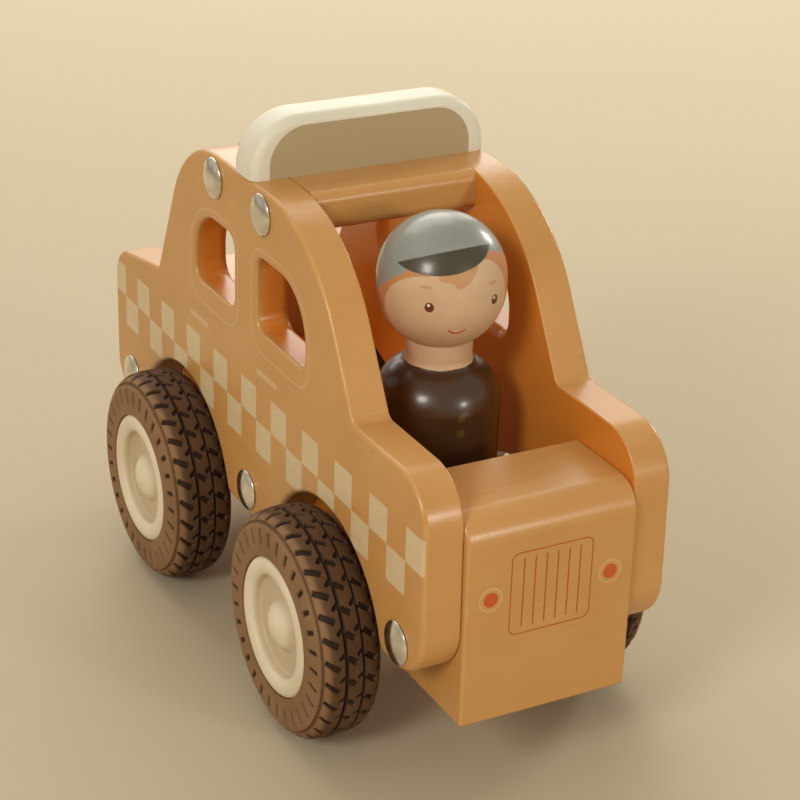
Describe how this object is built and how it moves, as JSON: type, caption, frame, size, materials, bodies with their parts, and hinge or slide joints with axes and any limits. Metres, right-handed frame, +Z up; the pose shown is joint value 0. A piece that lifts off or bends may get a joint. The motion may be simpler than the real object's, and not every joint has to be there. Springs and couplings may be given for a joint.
{
  "type": "toy taxi",
  "caption": "Wooden push-along toy taxi with thick side panels, open cab, roof sign, free-rolling rubber-tyred wheels and a lift-out peg driver.",
  "frame": {"origin": "on the ground under the middle of the car", "axes": "+Z up, the nose looks along -Y, +X is the car's left"},
  "size_m": [0.0826, 0.169, 0.1273],
  "materials": {
    "painted_wood": "ochre paint, satin",
    "cream_wood": "cream paint, satin",
    "bare_beech": "bare",
    "rivet_steel": "bright plated",
    "axle_steel": "drawn rod",
    "hub_plastic": "moulded cream, satin",
    "tyre_rubber": "moulded brown rubber",
    "driver_paint": "painted turned wood, gloss"
  },
  "bodies": {
    "car_body": {"left_side_panel": "painted_wood", "right_side_panel": "painted_wood", "nose_block": "painted_wood", "floor_block": "painted_wood", "tail_block": "painted_wood", "roof_board": "painted_wood", "roof_sign": "cream_wood", "sign_dowels": "bare_beech", "nose_dowels": "bare_beech", "tail_dowels": "bare_beech", "left_rivets": "rivet_steel", "right_rivets": "rivet_steel", "front_axle_washers": "axle_steel", "rear_axle_washers": "axle_steel"},
    "front_wheels": {"front_axle": "axle_steel", "front_left_hub": "hub_plastic", "front_right_hub": "hub_plastic", "front_left_tyre": "tyre_rubber", "front_right_tyre": "tyre_rubber"},
    "rear_wheels": {"rear_axle": "axle_steel", "rear_left_hub": "hub_plastic", "rear_right_hub": "hub_plastic", "rear_left_tyre": "tyre_rubber", "rear_right_tyre": "tyre_rubber"},
    "driver": {"driver": "driver_paint"}
  },
  "joints": [
    {"name": "front_wheels_roll", "type": "hinge", "parent": "car_body", "child": "front_wheels", "pos_m": [0, -0.0385, 0.02575], "axis": [1, 0, 0], "continuous": true},
    {"name": "rear_wheels_roll", "type": "hinge", "parent": "car_body", "child": "rear_wheels", "pos_m": [0, 0.0395, 0.02575], "axis": [1, 0, 0], "continuous": true},
    {"name": "driver_lift", "type": "slide", "parent": "car_body", "child": "driver", "axis": [0, 0, 1], "range_m": [0, 0.08]}
  ]
}
